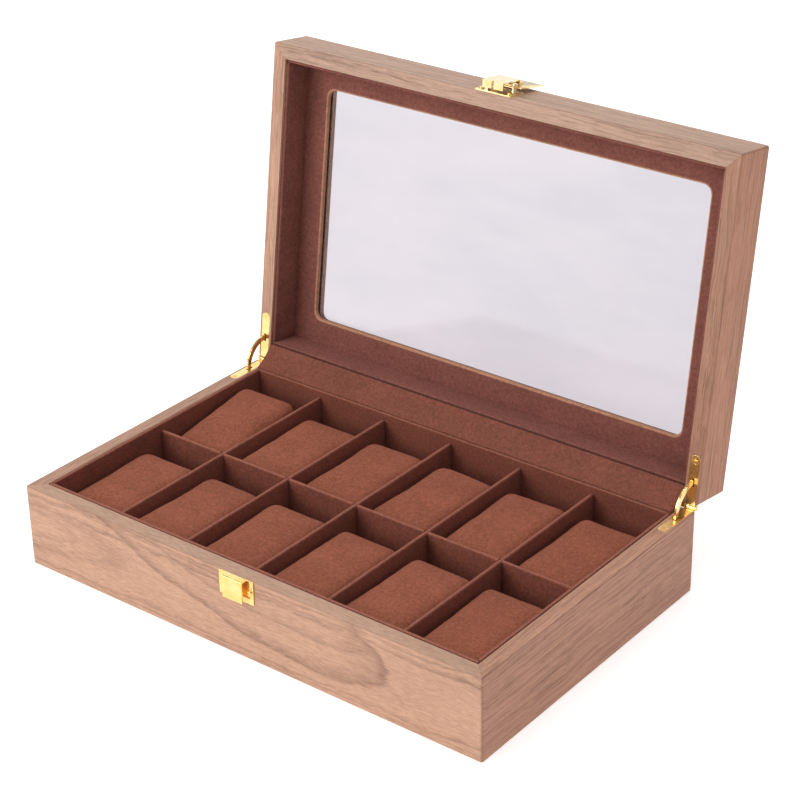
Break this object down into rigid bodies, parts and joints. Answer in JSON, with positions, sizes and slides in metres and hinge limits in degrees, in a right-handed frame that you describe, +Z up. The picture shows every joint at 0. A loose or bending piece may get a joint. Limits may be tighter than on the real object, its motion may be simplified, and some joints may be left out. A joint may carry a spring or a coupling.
{
  "type": "watch box",
  "caption": "Shallow wooden box with padded cells for wristwatches under a hinged, glazed lid that stays open on quadrant hinges and shuts with a lever latch.",
  "frame": {"origin": "centre of the underside, where the box stands", "axes": "+X to the right along the front, +Y to the back where the lid is hinged, +Z up"},
  "size_m": [0.32, 0.2668, 0.2585],
  "materials": {
    "walnut_veneer": "satin, straight and cathedral grain",
    "bottom_board": "matt board",
    "suede_liner": "fine suede over board",
    "suede_pillow": "fine suede over foam",
    "window_glass": "clear float glass",
    "polished_brass": "polished pale gold plating"
  },
  "bodies": {
    "base": {"base_front_panel": "walnut_veneer", "base_back_panel": "walnut_veneer", "base_left_panel": "walnut_veneer", "base_right_panel": "walnut_veneer", "bottom_panel": "bottom_board", "floor_lining": "suede_liner", "front_liner": "suede_liner", "back_liner": "suede_liner", "left_liner": "suede_liner", "right_liner": "suede_liner", "long_divider": "suede_liner", "cross_divider_1": "suede_liner", "cross_divider_2": "suede_liner", "cross_divider_3": "suede_liner", "cross_divider_4": "suede_liner", "cross_divider_5": "suede_liner", "strike_plate": "polished_brass", "strike_screws": "polished_brass", "base_leaf_left": "polished_brass", "base_leaf_right": "polished_brass", "base_leaf_screws": "polished_brass", "hinge_pins": "polished_brass", "gusset_strip": "suede_liner"},
    "lid": {"lid_front_panel": "walnut_veneer", "lid_back_panel": "walnut_veneer", "lid_left_panel": "walnut_veneer", "lid_right_panel": "walnut_veneer", "lid_top_panel": "walnut_veneer", "lid_glass": "window_glass", "lid_mat": "suede_liner", "lid_lining_front": "suede_liner", "lid_lining_back": "suede_liner", "lid_lining_left": "suede_liner", "lid_lining_right": "suede_liner", "lid_leaf_left": "polished_brass", "lid_leaf_right": "polished_brass", "lid_leaf_screws": "polished_brass", "latch_plate": "polished_brass", "latch_screws": "polished_brass", "latch_pin": "polished_brass"},
    "stay_arm_left": {"stay_arm_left": "polished_brass"},
    "stay_arm_right": {"stay_arm_right": "polished_brass"},
    "latch_lever": {"latch_lever": "polished_brass", "claw_pin": "polished_brass"},
    "latch_claw": {"latch_claw": "polished_brass"},
    "watch_pillow_front_1": {"watch_pillow_front_1": "suede_pillow"},
    "watch_pillow_front_2": {"watch_pillow_front_2": "suede_pillow"},
    "watch_pillow_front_3": {"watch_pillow_front_3": "suede_pillow"},
    "watch_pillow_front_4": {"watch_pillow_front_4": "suede_pillow"},
    "watch_pillow_front_5": {"watch_pillow_front_5": "suede_pillow"},
    "watch_pillow_front_6": {"watch_pillow_front_6": "suede_pillow"},
    "watch_pillow_back_1": {"watch_pillow_back_1": "suede_pillow"},
    "watch_pillow_back_2": {"watch_pillow_back_2": "suede_pillow"},
    "watch_pillow_back_3": {"watch_pillow_back_3": "suede_pillow"},
    "watch_pillow_back_4": {"watch_pillow_back_4": "suede_pillow"},
    "watch_pillow_back_5": {"watch_pillow_back_5": "suede_pillow"},
    "watch_pillow_back_6": {"watch_pillow_back_6": "suede_pillow"}
  },
  "joints": [
    {"name": "lid_hinge", "type": "hinge", "parent": "base", "child": "lid", "pos_m": [0, 0.1016, 0.0517], "axis": [-1, 0, 0], "range_deg": [-98, 0], "deforming": ["gusset_strip"]},
    {"name": "stay_arm_left_turn", "type": "hinge", "parent": "base", "child": "stay_arm_left", "pos_m": [-0.1555, 0.1016, 0.0517], "axis": [-1, 0, 0], "range_deg": [-49, 0]},
    {"name": "stay_arm_right_turn", "type": "hinge", "parent": "base", "child": "stay_arm_right", "pos_m": [0.1555, 0.1016, 0.0517], "axis": [-1, 0, 0], "range_deg": [-49, 0]},
    {"name": "latch_lever_hinge", "type": "hinge", "parent": "lid", "child": "latch_lever", "pos_m": [0, 0.13857, 0.25508], "axis": [-1, 0, 0], "range_deg": [-180, 0]},
    {"name": "latch_claw_hinge", "type": "hinge", "parent": "latch_lever", "child": "latch_claw", "pos_m": [0, 0.14591, 0.25491], "axis": [1, 0, 0], "range_deg": [-180, 0]},
    {"name": "pillow_lift_front_1", "type": "slide", "parent": "base", "child": "watch_pillow_front_1", "axis": [0, 0, 1], "range_m": [0, 0.055]},
    {"name": "pillow_lift_front_2", "type": "slide", "parent": "base", "child": "watch_pillow_front_2", "axis": [0, 0, 1], "range_m": [0, 0.055]},
    {"name": "pillow_lift_front_3", "type": "slide", "parent": "base", "child": "watch_pillow_front_3", "axis": [0, 0, 1], "range_m": [0, 0.055]},
    {"name": "pillow_lift_front_4", "type": "slide", "parent": "base", "child": "watch_pillow_front_4", "axis": [0, 0, 1], "range_m": [0, 0.055]},
    {"name": "pillow_lift_front_5", "type": "slide", "parent": "base", "child": "watch_pillow_front_5", "axis": [0, 0, 1], "range_m": [0, 0.055]},
    {"name": "pillow_lift_front_6", "type": "slide", "parent": "base", "child": "watch_pillow_front_6", "axis": [0, 0, 1], "range_m": [0, 0.055]},
    {"name": "pillow_lift_back_1", "type": "slide", "parent": "base", "child": "watch_pillow_back_1", "axis": [0, 0, 1], "range_m": [0, 0.055]},
    {"name": "pillow_lift_back_2", "type": "slide", "parent": "base", "child": "watch_pillow_back_2", "axis": [0, 0, 1], "range_m": [0, 0.055]},
    {"name": "pillow_lift_back_3", "type": "slide", "parent": "base", "child": "watch_pillow_back_3", "axis": [0, 0, 1], "range_m": [0, 0.055]},
    {"name": "pillow_lift_back_4", "type": "slide", "parent": "base", "child": "watch_pillow_back_4", "axis": [0, 0, 1], "range_m": [0, 0.055]},
    {"name": "pillow_lift_back_5", "type": "slide", "parent": "base", "child": "watch_pillow_back_5", "axis": [0, 0, 1], "range_m": [0, 0.055]},
    {"name": "pillow_lift_back_6", "type": "slide", "parent": "base", "child": "watch_pillow_back_6", "axis": [0, 0, 1], "range_m": [0, 0.055]}
  ],
  "couplings": [
    {"joint": "stay_arm_left_turn", "follows": "lid_hinge", "ratio": 0.5},
    {"joint": "stay_arm_right_turn", "follows": "lid_hinge", "ratio": 0.5},
    {"joint": "latch_claw_hinge", "follows": "latch_lever_hinge", "ratio": 1}
  ]
}
